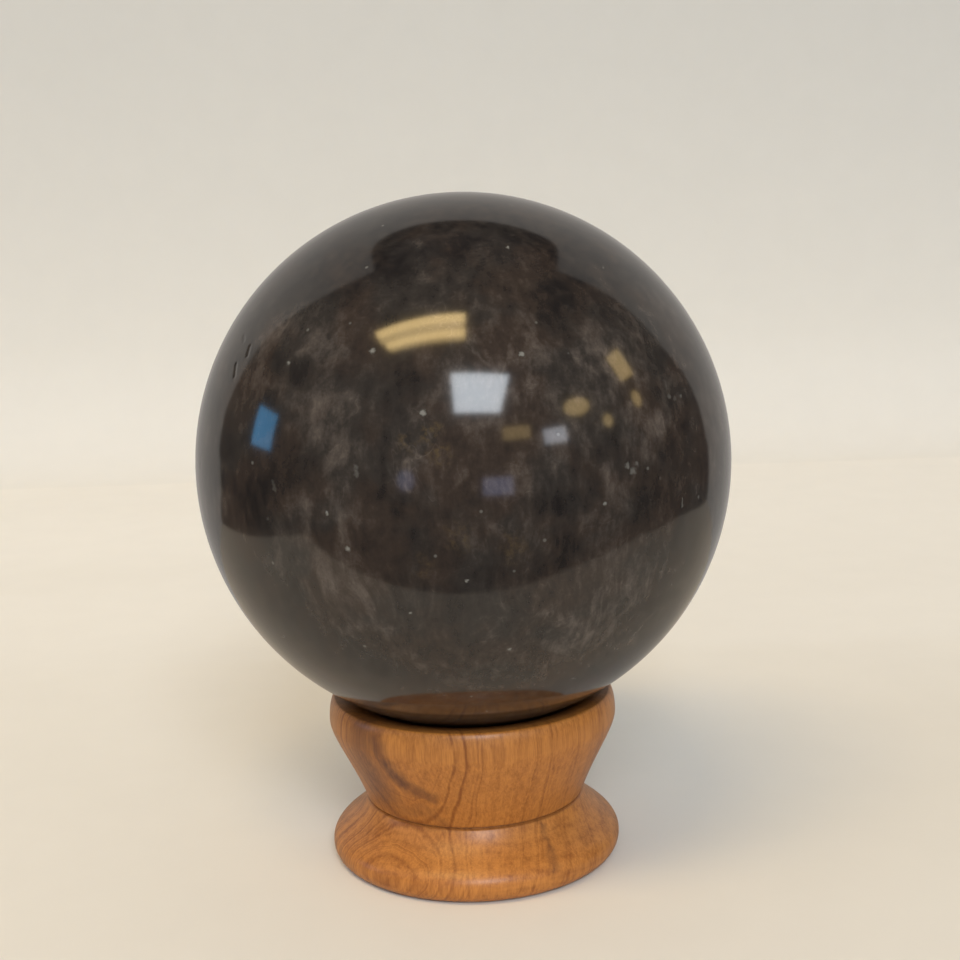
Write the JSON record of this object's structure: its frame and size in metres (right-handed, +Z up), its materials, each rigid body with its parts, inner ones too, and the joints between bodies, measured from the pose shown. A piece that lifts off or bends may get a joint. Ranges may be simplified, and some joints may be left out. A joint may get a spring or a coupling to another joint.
{
  "type": "decorative stone sphere on a turned wooden stand",
  "caption": "Polished dark stone ball resting in the shallow seat of a waisted, lathe-turned wooden stand; an ornament for a desk or shelf.",
  "frame": {"origin": "centre of the stand's underside, on the surface that it stands on", "axes": "+Z up along the stand's turning axis and through the ball's centre; -Y faces the viewer of the picture, +X is the viewer's right"},
  "size_m": [0.09, 0.09, 0.114],
  "materials": {
    "polished_stone": "brown-black stone with grey-brown veils, fine fibres and small glints, polished to a mirror gloss",
    "turned_wood": "warm orange-brown hardwood with fine upright growth lines, satin varnish"
  },
  "bodies": {
    "root": {"stone_sphere": "polished_stone", "turned_stand": "turned_wood"}
  },
  "joints": []
}
